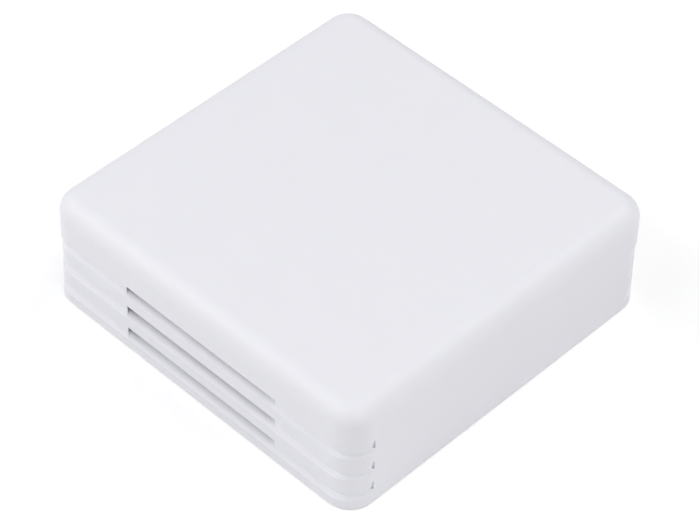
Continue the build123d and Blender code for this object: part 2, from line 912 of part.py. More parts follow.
def make_programming_header():
    """Row of square pins through a moulded strip."""
    strip_top = board_top + header_height
    with BuildPart() as strip:
        with BuildSketch(Plane.XY.offset(board_top)):
            with Locations((header_x, header_y)):
                with GridLocations(header_pitch, 0, header_pins_count, 1):
                    Rectangle(header_pitch, header_pitch)
        extrude(amount=header_height)
        chamfer(strip.edges().filter_by(Axis.Z), header_notch)
        with BuildSketch(Plane.XY.offset(board_top)):
            with Locations((header_x, header_y)):
                with GridLocations(header_pitch, 0, header_pins_count, 1):
                    Rectangle(header_pin_width, header_pin_width)
        extrude(amount=header_height, mode=Mode.SUBTRACT)
    save(strip, "programming_header")
    with BuildPart() as pins:
        with BuildSketch(Plane.XY.offset(board_bottom - header_pin_below)):
            with Locations((header_x, header_y)):
                with GridLocations(header_pitch, 0, header_pins_count, 1):
                    Rectangle(header_pin_width, header_pin_width)
        extrude(amount=strip_top + header_pin_above - board_bottom + header_pin_below)
        tips = pins.faces().filter_by(Plane.XY).group_by(Axis.Z)
        chamfer(tips[-1].edges(), header_pin_point)
    save(pins, "header_pins")


def make_chip_group(name, places, high):
    """Small flat components soldered to the board, one group."""
    with BuildPart() as group:
        with BuildSketch(Plane.XY.offset(board_top)):
            with Locations(*places):
                Rectangle(chip_length, chip_width)
        extrude(amount=high)
    save(group, name)


make_front_cover()
make_base_plate()
make_latch_tongues()
make_circuit_board()
make_board_screws()
make_terminal_block()
make_terminal_contacts()
for pole, (pole_x, _) in enumerate(pole_centres(block_y), start=1):
    make_wire_clamp(pole, pole_x)
    make_terminal_screw(pole, pole_x)
make_dip_switch()
for switch_pole in range(1, switch_poles + 1):
    make_dip_slider(switch_pole)
make_push_button()
make_chips()
make_crystal()
make_filter_capacitor()
make_temperature_sensor()
make_status_led()
make_programming_header()
make_chip_group("chip_resistors", resistor_places, resistor_height)
make_chip_group("ceramic_capacitors", ceramic_places, ceramic_height)
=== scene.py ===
"""Wall-mounted room temperature sensor, lying on its back on a pale floor."""

import math

import bmesh
import bpy
import numpy as np
from mathutils import Matrix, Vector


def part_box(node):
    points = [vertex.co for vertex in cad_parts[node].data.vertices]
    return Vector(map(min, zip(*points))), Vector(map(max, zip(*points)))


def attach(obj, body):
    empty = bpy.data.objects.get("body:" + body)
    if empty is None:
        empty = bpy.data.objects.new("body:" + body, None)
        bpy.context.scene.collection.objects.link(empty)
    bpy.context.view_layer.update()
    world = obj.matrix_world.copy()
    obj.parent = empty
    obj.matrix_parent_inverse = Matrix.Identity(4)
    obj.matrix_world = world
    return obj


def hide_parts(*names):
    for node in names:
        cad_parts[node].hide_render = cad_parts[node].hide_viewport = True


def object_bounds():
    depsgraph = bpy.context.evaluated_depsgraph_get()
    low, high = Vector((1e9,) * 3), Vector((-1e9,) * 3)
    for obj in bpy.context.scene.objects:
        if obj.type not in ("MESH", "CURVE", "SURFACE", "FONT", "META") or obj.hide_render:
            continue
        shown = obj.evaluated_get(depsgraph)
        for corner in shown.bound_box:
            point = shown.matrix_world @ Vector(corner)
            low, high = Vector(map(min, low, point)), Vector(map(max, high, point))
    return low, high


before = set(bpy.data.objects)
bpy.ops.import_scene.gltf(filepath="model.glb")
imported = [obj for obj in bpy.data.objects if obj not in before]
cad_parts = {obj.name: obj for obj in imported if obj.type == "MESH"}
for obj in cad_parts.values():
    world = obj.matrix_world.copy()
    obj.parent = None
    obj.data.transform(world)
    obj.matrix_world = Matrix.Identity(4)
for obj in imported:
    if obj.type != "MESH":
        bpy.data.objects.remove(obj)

cad_low, cad_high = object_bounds()
scene = bpy.context.scene


# Front cover: one injection moulding in white ABS, from a mould whose walls were
# spark-eroded and whose core is plain. Inside, four round marks show where the
# ejector pins pushed the cover out, and two barbs of the base hold it.

def linear(hex_colour):
    """An sRGB hex colour as linear RGBA, by the standard piecewise curve."""
    channels = np.array([int(hex_colour[i:i + 2], 16) for i in (1, 3, 5)]) / 255
    straight = np.where(channels <= 0.04045, channels / 12.92,
                        ((channels + 0.055) / 1.055) ** 2.4)
    return (*straight.tolist(), 1.0)


def add_node(owner, kind, inputs=None, **settings):
    """One shader node with its settings; each input is a value or a (node, output) link.

    Inputs are named, or numbered where names repeat: on a colour Mix, 0 is the
    factor, 6 and 7 are the two colours, and output 2 is the result.
    """
    node = owner.node_tree.nodes.new("ShaderNode" + kind)
    for name, value in settings.items():
        setattr(node, name, value)
    for name, value in (inputs or {}).items():
        if isinstance(value, tuple) and isinstance(value[0], bpy.types.Node):
            owner.node_tree.links.new(value[0].outputs[value[1]], node.inputs[name])
        else:
            node.inputs[name].default_value = value
    return node


def new_material(name):
    """An empty node material, and its texture coordinates."""
    material = bpy.data.materials.new(name)
    material.use_nodes = True
    material.node_tree.nodes.clear()
    return material, add_node(material, "TexCoord")


def finish(m, tone, grain, rough, swing, height_mm, pressed=None, **inputs):
    """End a material: its grain gives the relief and moves the gloss by a swing either way.

    Pressed is the node of a print in the surface, which runs from 0 to 1, and
    the print's depth in millimetres. Further inputs go to the shader.
    """
    gloss = add_node(m, "MapRange", {"Value": (grain, "Fac"), "From Min": 0.3, "From Max": 0.7,
                                     "To Min": rough - swing, "To Max": rough + swing})
    relief = add_node(m, "Bump", {"Height": (grain, "Fac"), "Distance": height_mm / 1000})
    if pressed:
        relief = add_node(m, "Bump", {"Height": (pressed[0], 0), "Distance": -pressed[1] / 1000,
                                      "Normal": (relief, 0)})
    surface = add_node(m, "BsdfPrincipled", {"Base Color": (tone, 2), "Roughness": (gloss, 0),
                                             "Normal": (relief, 0), **inputs})
    add_node(m, "OutputMaterial", {"Surface": (surface, 0)})


def moulded_plastic(name, colour, shade, rough, grain_mm, height_mm, marks=None):
    """Moulded plastic: a faint cloudiness in the colour and the mould's own grain.

    The colour moves between two near shades over 9 mm, and the grain is a fine
    noise in the relief and the gloss. Marks are four round ejector prints 0.1
    mm deep, given as (x, y, radius, lowest and highest z) in millimetres.
    """
    m, place = new_material(name)
    cloud = add_node(m, "TexNoise", {"Vector": (place, "Object"), "Scale": 1000 / 9.0,
                                     "Detail": 3.0})
    grain = add_node(m, "TexNoise", {"Vector": (place, "Object"), "Scale": 1000 / grain_mm,
                                     "Detail": 2.0})
    tone = add_node(m, "Mix", {0: (cloud, "Fac"), 6: linear(colour), 7: linear(shade)},
                    data_type="RGBA")
    pressed = None
    if marks:
        x, y, radius, lowest, highest = (value / 1000 for value in marks)
        axes = add_node(m, "SeparateXYZ", {0: (place, "Object")})
        mirrored = [add_node(m, "Math", {0: (axes, axis)}, operation="ABSOLUTE") for axis in "XY"]
        flat = add_node(m, "CombineXYZ", {"X": (mirrored[0], 0), "Y": (mirrored[1], 0)})
        away = add_node(m, "VectorMath", {0: (flat, 0), 1: (x, y, 0.0)}, operation="DISTANCE")
        disc = add_node(m, "MapRange", {"Value": (away, "Value"), "From Min": radius - 0.0001,
                                        "From Max": radius + 0.0001, "To Min": 1.0, "To Max": 0.0})
        above = add_node(m, "Math", {0: (axes, "Z"), 1: lowest}, operation="GREATER_THAN")
        below = add_node(m, "Math", {0: (axes, "Z"), 1: highest}, operation="LESS_THAN")
        level = add_node(m, "Math", {0: (above, 0), 1: (below, 0)}, operation="MULTIPLY")
        pressed = (add_node(m, "Math", {0: (disc, 0), 1: (level, 0)}, operation="MULTIPLY"), 0.1)
    finish(m, tone, grain, rough, swing=0.06, height_mm=height_mm, pressed=pressed, IOR=1.53)
    return m


def paint(material, *nodes):
    """Give CAD nodes their finish."""
    for name in nodes:
        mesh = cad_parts[name].data
        mesh.materials.clear()
        mesh.materials.append(material)


# The eroded grain makes it dull and even, with broad, soft highlights. The real
# grain is near 0.1 mm and is drawn at 0.35 mm, so that it shows.
cover_abs = moulded_plastic("spark_eroded_white_abs", "#E9E9EE", "#E7E7EC", rough=0.55,
                            grain_mm=0.35, height_mm=0.012, marks=(27.0, 27.0, 3.0, 24.0, 25.0))
paint(cover_abs, "front_cover")


# Base plate and latch tongues: the same white ABS, moulded in one piece that is
# screwed to the wall box. Its mould was only polished, and four ejector pins
# left their round marks on the floor, outside the board.

# The smoother skin gives a satin sheen and slightly sharper highlights than the
# cover's. Its faint waviness is drawn at 0.6 mm.
base_abs = moulded_plastic("satin_moulded_white_abs", "#E6E6EA", "#E2E2E7", rough=0.42,
                           grain_mm=0.6, height_mm=0.004, marks=(31.0, 24.0, 2.5, 2.0, 3.0))
paint(base_abs, "base_plate", "latch_tongues")


# Circuit board: glass-epoxy laminate, routed to its outline and coated with a
# green solder mask. Four screws hold it on the base plate's posts.

board_bottom, board_top = (corner.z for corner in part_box("circuit_board"))
thread_mm = 0.6


def solder_mask(name, colour, shade):
    """Green lacquer over glass cloth on flat faces, bare laminate on cut edges.

    The cloth is two crossed sine waves, one thread apart, and the higher one
    counts; a wave texture's scale is pi over ten periods. Edges are where the
    surface's normal is nearer level than upright.
    """
    m, place = new_material(name)
    laminate = linear("#A79B64")
    threads = [add_node(m, "TexWave", {"Vector": (place, "Object"),
                                       "Scale": math.pi / (thread_mm / 100)},
                        bands_direction=axis) for axis in "XY"]
    cloth = add_node(m, "Math", {0: (threads[0], "Fac"), 1: (threads[1], "Fac")},
                     operation="MAXIMUM")
    patch = add_node(m, "TexNoise", {"Vector": (place, "Object"), "Scale": 1000 / 6.0,
                                     "Detail": 3.0})
    lacquer = add_node(m, "Mix", {0: (patch, "Fac"), 6: linear(colour), 7: linear(shade)},
                       data_type="RGBA")
    thin = add_node(m, "MapRange", {"Value": (cloth, 0), "From Min": 0.6, "From Max": 1.0,
                                    "To Min": 0.0, "To Max": 0.12})
    woven = add_node(m, "Mix", {0: (thin, 0), 6: (lacquer, 2), 7: laminate}, data_type="RGBA")
    facing = add_node(m, "SeparateXYZ", {0: (place, "Normal")})
    upright = add_node(m, "Math", {0: (facing, "Z")}, operation="ABSOLUTE")
    routed = add_node(m, "Math", {0: (upright, 0), 1: 0.5}, operation="LESS_THAN")
    tone = add_node(m, "Mix", {0: (routed, 0), 6: (woven, 2), 7: laminate}, data_type="RGBA")
    gloss = add_node(m, "MapRange", {"Value": (routed, 0), "To Min": 0.25, "To Max": 0.6})
    relief = add_node(m, "Bump", {"Height": (cloth, 0), "Distance": 0.000006})
    surface = add_node(m, "BsdfPrincipled", {"Base Color": (tone, 2), "Roughness": (gloss, 0),
                                             "Normal": (relief, 0), "IOR": 1.5})
    add_node(m, "OutputMaterial", {"Surface": (surface, 0)})
    return m


# The mask is glossy and so thin that the glass cloth shows through it as a faint
# weave. The routed edges are dull, straw-coloured laminate.
paint(solder_mask("green_solder_mask_on_laminate", "#155B33", "#1A6439"), "circuit_board")


# Copper tracks: etched from the foil and coated with the same mask. They turn by
# 45 degrees, and the supply tracks are wider.

def add_piece(name, material, slot, *grids, smooth=True):
    """A piece on the base from stacks of grids: count x rows x columns x 3, in metres.

    Quads join each row to the next, and each row's end to its start, so every
    grid is a tube. A row that is all one point closes it as a pole: doubled
    points are merged, and the faces are then turned outwards.
    """
    points, quads, used = [], [], 0
    for stack in grids:
        count, rows, columns, _ = stack.shape
        index = used + np.arange(count * rows * columns).reshape(count, rows, columns)
        index = np.concatenate([index, index[:, :, :1]], axis=2)
        quads.append(np.stack([index[:, :-1, :-1], index[:, :-1, 1:],
                               index[:, 1:, 1:], index[:, 1:, :-1]], axis=-1).reshape(-1, 4))
        points.append(stack.reshape(-1, 3))
        used += count * rows * columns
    mesh = bpy.data.meshes.new(name)
    mesh.from_pydata(np.concatenate(points).tolist(), [], np.concatenate(quads).tolist())
    shell = bmesh.new()
    shell.from_mesh(mesh)
    bmesh.ops.remove_doubles(shell, verts=shell.verts, dist=2e-7)
    bmesh.ops.recalc_face_normals(shell, faces=shell.faces)
    shell.to_mesh(mesh)
    shell.free()
    if smooth:
        mesh.polygons.foreach_set("use_smooth", [True] * len(mesh.polygons))
        mesh.set_sharp_from_angle(angle=math.radians(40))
    mesh.materials.append(material)
    piece = bpy.data.objects.new(name, mesh)
    scene.collection.objects.link(piece)
    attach(piece, "base")
    return piece


def ribbon(line_mm, width_mm, height_mm, closed=False):
    """A flat strip on the board along a line: a low trapezoid carried along it.

    At each point the strip's side goes along the mitre of the two runs that
    meet there, so its width stays the same. The columns are left foot, left
    top, right top and right foot; an open strip's ends are drawn together.
    """
    line = np.array(line_mm, float)
    ahead, behind = np.roll(line, -1, axis=0) - line, line - np.roll(line, 1, axis=0)
    if not closed:
        ahead[-1], behind[0] = behind[-1], ahead[0]
    ahead /= np.linalg.norm(ahead, axis=1, keepdims=True)
    behind /= np.linalg.norm(behind, axis=1, keepdims=True)
    middle = ahead + behind
    middle /= np.linalg.norm(middle, axis=1, keepdims=True)
    mitre = 1 / np.sum(middle * ahead, axis=1)
    side = np.stack([-middle[:, 1], middle[:, 0]], axis=1) * mitre[:, None]
    reach = np.array([0.5, 0.42, -0.42, -0.5]) * width_mm
    grid = np.empty((len(line), 4, 3))
    grid[:, :, :2] = line[:, None] + side[:, None] * reach[None, :, None]
    grid[:, :, 2] = board_top * 1000 + np.array([0.0, height_mm, height_mm, 0.0])
    if closed:
        grid = np.concatenate([grid, grid[:1]])
    else:
        ends = np.repeat(grid[[0, -1]].mean(axis=1, keepdims=True), 4, axis=1)
        grid = np.concatenate([ends[:1], grid, ends[1:]])
    return grid[None] / 1000


signal_tracks = [
    [(-1.4, -7.7), (-3.1, -7.7), (-3.4, -8.0), (-4.6, -8.0)],
    [(-1.4, -10.1), (-3.6, -10.1), (-4.0, -10.5), (-4.6, -10.5)],
    [(-1.4, -12.5), (-3.5, -12.5), (-4.0, -13.0), (-4.6, -13.0)],
    [(-6.4, -8.0), (-7.3, -7.1), (-7.3, -4.0), (-8.1, -3.2), (-10.19, -3.2), (-10.19, -4.0)],
    [(-6.4, -10.5), (-7.3, -11.4), (-7.3, -14.3), (-8.2, -15.2), (-10.19, -15.2), (-10.19, -14.0)],
    [(-6.4, -13.0), (-6.4, -15.0), (-7.5, -16.1), (-12.73, -16.1), (-12.73, -14.0)],
    [(0.2, -15.1), (0.2, -16.3), (-0.9, -17.4), (-0.9, -18.0)],
    [(1.0, -15.1), (1.0, -18.8), (0.0, -19.8)],
    [(1.8, -15.1), (1.8, -16.7)],
    [(4.2, -15.1), (4.2, -16.7)],
    [(5.8, -15.1), (5.6, -15.3), (5.6, -16.7)],
    [(3.92, -21.4), (3.92, -19.3), (4.9, -18.3), (4.9, -15.2)],
    [(9.0, -21.4), (9.0, -20.0), (8.0, -19.0), (8.0, -13.8), (7.5, -13.3)],
    [(7.4, -7.7), (8.5, -7.7), (10.3, -5.9), (10.3, -5.0), (11.1, -5.0)],
    [(7.4, -8.5), (9.3, -8.5), (10.3, -7.5), (11.1, -7.5)],
    [(7.4, -10.1), (11.1, -10.1)],
    [(12.9, -5.0), (14.4, -5.0), (15.6, -3.8), (16.3, -3.8), (16.6, -4.1), (16.6, -4.6)],
    [(12.9, -7.5), (16.4, -7.5)],
    [(12.9, -10.0), (14.0, -10.0), (15.5, -11.5), (16.3, -11.5), (16.6, -11.2), (16.6, -10.4)],
    [(17.87, -10.4), (17.87, -12.5), (17.5, -12.9), (17.5, -13.5)],
    [(19.13, -10.4), (19.13, -12.5), (19.5, -12.9), (19.5, -13.5)],
    [(17.87, -4.6), (17.87, -4.1), (17.6, -3.8), (17.6, -2.8)],
    [(19.13, -4.6), (19.13, -4.1), (19.4, -3.8), (19.4, -2.8)],
    [(-4.9, -1.8), (-5.8, -2.7), (-5.8, -4.5)],
    [(0.1, -1.8), (0.1, -6.0)],
    [(5.1, -1.8), (5.1, -5.9), (5.0, -6.0)],
    [(-4.1, -4.5), (-3.0, -4.5), (-2.3, -5.2)],
    [(-9.0, -22.6), (-3.4, -22.6)],
    [(-9.2, -18.4), (-7.7, -16.9), (-4.8, -16.9), (-2.2, -14.3), (-2.2, -13.6), (-1.9, -13.3),
     (-1.4, -13.3)],
    [(16.2, -31.8), (16.2, -20.3), (15.1, -19.2)],
    [(16.75, -31.8), (16.75, -18.4), (17.4, -17.7)],
    [(17.3, -31.8), (17.3, -19.7), (18.4, -18.6), (19.2, -18.6), (19.5, -18.3), (19.5, -17.6)],
    [(17.85, -31.8), (17.85, -21.0), (20.6, -18.25), (20.6, -12.4), (20.4, -12.2), (20.4, -10.4)],
]
supply_tracks = [
    [(20.4, -4.6), (20.4, -0.6), (18.4, 1.4)],
    [(-7.5, 0.6), (-7.5, -1.3), (-8.0, -1.8)], [(-2.5, 0.6), (-2.5, -1.3), (-3.0, -1.8)],
    [(2.5, 0.6), (2.5, -1.3), (2.0, -1.8)], [(7.5, 0.6), (7.5, -1.3), (7.0, -1.8)],
    [(13.8, -19.0), (15.2, -17.6), (17.6, -17.6)], [(11.5, -19.0), (11.1, -19.4), (11.1, -20.1)],
]
foil, signal_width, supply_width = 0.035, 0.3, 0.75
# Over copper the mask looks lighter and yellower, and each track's edge glints.
add_piece("copper_tracks", solder_mask("solder_mask_over_copper", "#2C7A49", "#338552"),
          "board_laminate", *(ribbon(line, signal_width, foil) for line in signal_tracks),
          *(ribbon(line, supply_width, foil) for line in supply_tracks))


# Printed outlines: white epoxy ink, screen-printed as plain lines 0.15 mm wide
# round the larger parts and over the tracks, and left open at the pads.

def fine_grained(name, colour, shade, rough, grain_mm, height_mm, metal=1.0):
    """A plated, printed or fired surface: two near tones, and a grain in relief and gloss."""
    m, place = new_material(name)
    grain = add_node(m, "TexNoise", {"Vector": (place, "Object"), "Scale": 1000 / grain_mm,
                                     "Detail": 4.0})
    tone = add_node(m, "Mix", {0: (grain, "Fac"), 6: linear(colour), 7: linear(shade)},
                    data_type="RGBA")
    finish(m, tone, grain, rough, swing=0.08, height_mm=height_mm, Metallic=metal)
    return m


def plan(node):
    """A node's box from above, in millimetres: its middle, then half its width and depth."""
    low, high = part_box(node)
    return (500 * (low.x + high.x), 500 * (low.y + high.y),
            500 * (high.x - low.x), 500 * (high.y - low.y))


def corners(x, y, reach_x, reach_y):
    """The four corners of a rectangle round (x, y)."""
    return [(x + s * reach_x, y + t * reach_y) for s in (-1, 1) for t in (-1, 1)]


def box_line(node, gap):
    """A line round a node's box at a gap, with its first corner cut off by the gap."""
    x, y, right, top = plan(node)
    right, top = right + gap, top + gap
    return [(x - right + gap, y - top), (x + right, y - top), (x + right, y + top),
            (x - right, y + top), (x - right, y - top + gap)]


def side_lines(node, gap, along, share=1.0):
    """Two lines beside a node's box at a gap, along x or y, over a share of its sides."""
    x, y, right, top = plan(node)
    if along == "x":
        return [[(x - share * right, y + s * (top + gap)), (x + share * right, y + s * (top + gap))]
                for s in (-1, 1)]
    return [[(x + s * (right + gap), y - share * top), (x + s * (right + gap), y + share * top)]
            for s in (-1, 1)]


chip_x, chip_y, chip_reach, _ = plan("microcontroller")
corner_from, corner_to = chip_reach + 0.1, chip_reach + 1.1
chip_corners = [[(chip_x + s * corner_to, chip_y + t * corner_from),
                 (chip_x + s * corner_to, chip_y + t * corner_to),
                 (chip_x + s * corner_from, chip_y + t * corner_to)]
                for s in (-1, 1) for t in (-1, 1)]
block_x, block_y, block_reach, block_depth = plan("terminal_block")
block_gap, block_shift = 0.25, 0.3
block_line = [(block_x + s * (block_reach + block_gap), block_y + t * block_depth - block_shift)
              for s, t in ((-1, 1), (-1, -1), (1, -1), (1, 1))]
# The ink is chalky and a little off-white, thinner at some places than at others.
white_ink = fine_grained("screen_printed_white_ink", "#E4E5DC", "#D3D5CA", rough=0.6,
                         grain_mm=0.3, height_mm=0.006, metal=0.0)
ink_width, ink_height = 0.15, foil + 0.015
add_piece("printed_outlines", white_ink, "board_laminate",
          *(ribbon(box_line(node, gap), ink_width, ink_height, closed=True)
            for node, gap in (("crystal", 0.5), ("programming_header", 0.25),
                              ("temperature_sensor", 0.5))),
          *(ribbon(line, ink_width, ink_height)
            for line in [block_line, *chip_corners, *side_lines("dip_switch", 0.3, along="y"),
                         *side_lines("push_button", 0.3, along="x"),
                         *side_lines("bus_transceiver", 0.25, along="y"),
                         *side_lines("voltage_regulator", 0.25, along="y"),
                         *side_lines("capacitor_foot", 0.3, along="x", share=0.4)]))


# Solder: every lead stands in a small fillet of tin solder on its pad. The wired
# parts are wave-soldered below, where the solder climbs each pin, and every
# mounting hole has a bare, tinned ring.

def on_board(grid, places, side=1):
    """One grid, in millimetres, at each place of the board's top (side 1) or underside (-1)."""
    level = 1000 * (board_top if side > 0 else board_bottom)
    centres = np.array([(x, y, level) for x, y in places])
    return (centres[:, None, None] + grid[None]) / 1000


def mounds(places, reach_x, reach_y, height, side=1, rings=6, around=20):
    """Low mounds: the height falls from the middle as (1 - radius squared) squared.

    The radius goes from 0 to 1 and the angle once round. The plan is a rounded
    oblong, from cosines and sines raised to the power 0.6, and a last row in
    the middle of the foot closes the mound. Side is 1 on top and -1 below.
    """
    radius = np.linspace(0, 1, rings)[:, None]
    turn = np.arange(around)[None] * 2 * math.pi / around
    rise = side * height * (1 - radius ** 2) ** 2 + 0 * turn
    bend = [np.sign(w) * np.abs(w) ** 0.6 for w in (np.cos(turn), np.sin(turn))]
    grid = np.stack([reach_x * radius * bend[0], reach_y * radius * bend[1], rise], axis=-1)
    return on_board(np.concatenate([grid, 0 * grid[-1:]]), places, side)


def ring_pads(places, inner, outer, side=1, height=0.03, around=36):
    """Flat tinned rings: a low rectangle carried once round a circle."""
    turn = np.arange(around + 1)[:, None] * 2 * math.pi / around
    radius = np.array([[inner, inner, outer, outer]])
    lift = side * np.array([[0.0, height, height, 0.0]])
    grid = np.stack([radius * np.cos(turn), radius * np.sin(turn), lift + 0 * turn], axis=-1)
    return on_board(grid, places, side)


def row(count, pitch):
    """Places along a row, about its middle."""
    return [(k - (count - 1) / 2) * pitch for k in range(count)]


poles = range(1, 5)
controller_row, bus_row, regulator_row = row(8, 0.8), row(4, 1.27), row(3, 2.3)
sensor_row, header_row = row(3, 0.8), row(5, 2.54)
controller_toe = plan("microcontroller_leads")[2] - 0.2
bus_x, bus_y, _, bus_reach = plan("transceiver_leads")
bus_toe = bus_reach - 0.2
regulator_x, regulator_y, _, regulator_reach = plan("regulator_leads")
regulator_toe = regulator_reach - 0.25
can_x, can_y, foot_reach, _ = plan("capacitor_foot")
foot_end = foot_reach + 0.2
crystal_x, crystal_y, crystal_reach, crystal_depth = plan("crystal")
pad_inset, chip_end = 0.2, 0.95
light_x, light_y, light_reach, _ = plan("status_led")
sensor_x, sensor_y, sensor_reach, _ = plan("temperature_sensor")
header_x, header_y = plan("header_pins")[:2]
pin_setback = 2.1
terminal_pins = [(plan(f"terminal_screw_{n}")[0], plan("terminal_contacts")[1] - pin_setback)
                 for n in poles]
screws_x, screws_y, screws_reach, screws_depth = plan("board_screws")
screw_head, hole_radius, ring_radius = 2.1, 1.35, 2.75
hole_places = corners(screws_x, screws_y, screws_reach - screw_head, screws_depth - screw_head)
resistor_places = [(-5.5, -8.0), (-5.5, -10.5), (-5.5, -13.0), (12.0, -5.0), (12.0, -7.5),
                   (12.0, -10.0), (-9.0, -1.8), (-4.0, -1.8), (1.0, -1.8), (18.5, -13.5)]
ceramic_places = [(3.0, -16.8), (6.5, -16.8), (-2.5, -22.6), (18.5, -2.8), (12.0, -20.1),
                  (18.5, -17.5), (6.0, -1.8)]
# Each kind of joint in millimetres: its places, its reach along x and y, its height.
joints_above = [
    ([(chip_x + s * controller_toe, chip_y + k) for s in (-1, 1) for k in controller_row],
     0.5, 0.24, 0.12),
    ([(chip_x + k, chip_y + s * controller_toe) for s in (-1, 1) for k in controller_row],
     0.24, 0.5, 0.12),
    ([(bus_x + k, bus_y + s * bus_toe) for s in (-1, 1) for k in bus_row], 0.32, 0.55, 0.16),
    ([(regulator_x + k, regulator_y - regulator_toe) for k in regulator_row], 0.6, 0.7, 0.2),
    ([(regulator_x, regulator_y + regulator_toe)], 1.8, 0.75, 0.22),
    ([(x + s * chip_end, y) for x, y in resistor_places + ceramic_places for s in (-1, 1)],
     0.5, 0.72, 0.34),
    ([(light_x + s * light_reach, light_y) for s in (-1, 1)], 0.4, 0.62, 0.2),
    ([(can_x + s * foot_end, can_y) for s in (-1, 1)], 0.5, 0.7, 0.15),
    (corners(crystal_x, crystal_y, crystal_reach - pad_inset, crystal_depth - pad_inset),
     0.45, 0.4, 0.1),
    ([(sensor_x + s * sensor_reach, sensor_y + k) for s in (-1, 1) for k in sensor_row],
     0.3, 0.16, 0.1),
]
joints_below = [(terminal_pins, 1.05, 1.05, 1.0),
                ([(header_x + k, header_y) for k in header_row], 0.8, 0.8, 0.7)]
# Fresh tin solder is the brightest metal here: smooth, with small, sharp glints.
bright_solder = fine_grained("bright_tin_solder", "#D6D6D2", "#BDBDB8", rough=0.28,
                             grain_mm=0.25, height_mm=0.006)
add_piece("solder_joints", bright_solder, "tinned_copper",
          *(mounds(*joint) for joint in joints_above),
          *(mounds(*joint, side=-1) for joint in joints_below),
          *(ring_pads(hole_places, hole_radius, ring_radius, side) for side in (1, -1)))


# Board screws and terminal screws: cold-headed steel with a thin zinc plating,
# tumbled in a drum. The board screws cut their own thread in the posts.

# The plating is bright and faintly blue, softened by fine scuffs from the drum.
# The scuffs are drawn at 0.5 mm, coarser than they are.
zinc_plate = fine_grained("zinc_plated_steel", "#C9CCD2", "#B2B7C0", rough=0.3,
                          grain_mm=0.5, height_mm=0.004)
paint(zinc_plate, "board_screws", *(f"terminal_screw_{n}" for n in poles))


# Terminal block: moulded green polyamide. Each pole has a tin-plated brass bar
# with a pin that is soldered below the board, and a clamp stamped and folded
# from nickel-plated steel strip.

# The polyamide is satin, and its green is a little uneven from the glass fibre.
green_polyamide = moulded_plastic("moulded_green_polyamide", "#2E7D43", "#276F3A", rough=0.38,
                                  grain_mm=0.25, height_mm=0.004)
paint(green_polyamide, "terminal_block")
# Electroplated tin is greyer and duller than solder, with a soft, milky shine.
tin_plate = fine_grained("matt_tin_plate", "#D2D1CC", "#BFBEB8", rough=0.36, grain_mm=0.2,
                         height_mm=0.003)
paint(tin_plate, "terminal_contacts")


def rolled_strip(name, colour, shade, rough, line_mm):
    """Rolled and stamped strip: noise drawn out along Z gives the fine rolling lines."""
    m, place = new_material(name)
    drawn = add_node(m, "Mapping", {"Vector": (place, "Object"), "Scale": (1.0, 1.0, 0.06)})
    lines = add_node(m, "TexNoise", {"Vector": (drawn, 0), "Scale": 1000 / line_mm, "Detail": 3.0})
    tone = add_node(m, "Mix", {0: (lines, "Fac"), 6: linear(colour), 7: linear(shade)},
                    data_type="RGBA")
    finish(m, tone, lines, rough, swing=0.1, height_mm=0.003, Metallic=1.0)
    return m


# Nickel looks warm grey, and the rolling lines draw its reflections out.
nickel_strip = rolled_strip("nickel_plated_strip", "#C4C2BC", "#A9A7A0", rough=0.3, line_mm=0.15)
paint(nickel_strip, *(f"wire_clamp_{n}" for n in poles))


# Address switch: a moulded housing with four white polyamide sliders. Its
# tin-plated legs come out of both long sides and are bent down to the pads.

# The red housing is smooth and slightly glossy, as moulded from a polished tool.
red_housing = moulded_plastic("moulded_red_thermoplastic", "#A3201F", "#8F1A1A", rough=0.36,
                              grain_mm=0.3, height_mm=0.004)
paint(red_housing, "dip_switch")
# Unfilled polyamide is a warm white, with a waxy shine.
white_polyamide = moulded_plastic("moulded_white_polyamide", "#E8E8E2", "#DDDDD6", rough=0.3,
                                  grain_mm=0.3, height_mm=0.003)
paint(white_polyamide, *(f"dip_slider_{n}" for n in range(1, 5)))


def bent_legs(places, line_mm, width_mm, thick_mm, along_x):
    """Flat strips bent along a line of (outward, upward) points in millimetres.

    Each row is the strip's section, a rectangle whose thickness is laid off
    along the line's mitre. The first and last rows are drawn together. A place
    is (x, y, 1 or -1), and the sign says which way the leg points.
    """
    line = np.array(line_mm, float)
    run = np.diff(line, axis=0)
    run /= np.linalg.norm(run, axis=1, keepdims=True)
    ahead, behind = np.vstack([run, run[-1:]]), np.vstack([run[:1], run])
    middle = (ahead + behind) / np.linalg.norm(ahead + behind, axis=1, keepdims=True)
    mitre = thick_mm / np.sum(middle * ahead, axis=1)
    upper = line + np.stack([-middle[:, 1], middle[:, 0]], axis=1) * mitre[:, None]
    edges = np.stack([line, line, upper, upper], axis=1)
    across = np.array([-0.5, 0.5, 0.5, -0.5]) * width_mm + 0 * edges[:, :, 0]
    grid = np.stack([across, edges[:, :, 0], edges[:, :, 1]], axis=-1)
    ends = np.repeat(grid[[0, -1]].mean(axis=1, keepdims=True), 4, axis=1)
    grid = np.concatenate([ends[:1], grid, ends[1:]])
    if along_x:
        grid = grid[:, :, [1, 0, 2]]
    turned = [grid * ((s, 1, 1) if along_x else (1, s, 1)) + (x, y, board_top * 1000)
              for x, y, s in places]
    return np.stack(turned) / 1000


switch_x, switch_y, _, switch_depth = plan("dip_switch")
leg_root = 0.05
add_piece("switch_legs", tin_plate, "tinned_copper",
          bent_legs([(switch_x + k, switch_y + s * (switch_depth - leg_root), s)
                     for k in row(4, 2.54) for s in (-1, 1)],
                    [(0.0, 2.0), (0.35, 2.0), (0.75, 0.1), (1.35, 0.1)],
                    width_mm=0.6, thick_mm=0.22, along_x=False), smooth=False)


# Learn button: a moulded body with a round cap. A lid of stamped steel is held
# on the body by four heat-formed rivets, and four bent legs carry it.

button_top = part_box("push_button")[1].z
button_x, button_y, button_reach, _ = plan("push_button")


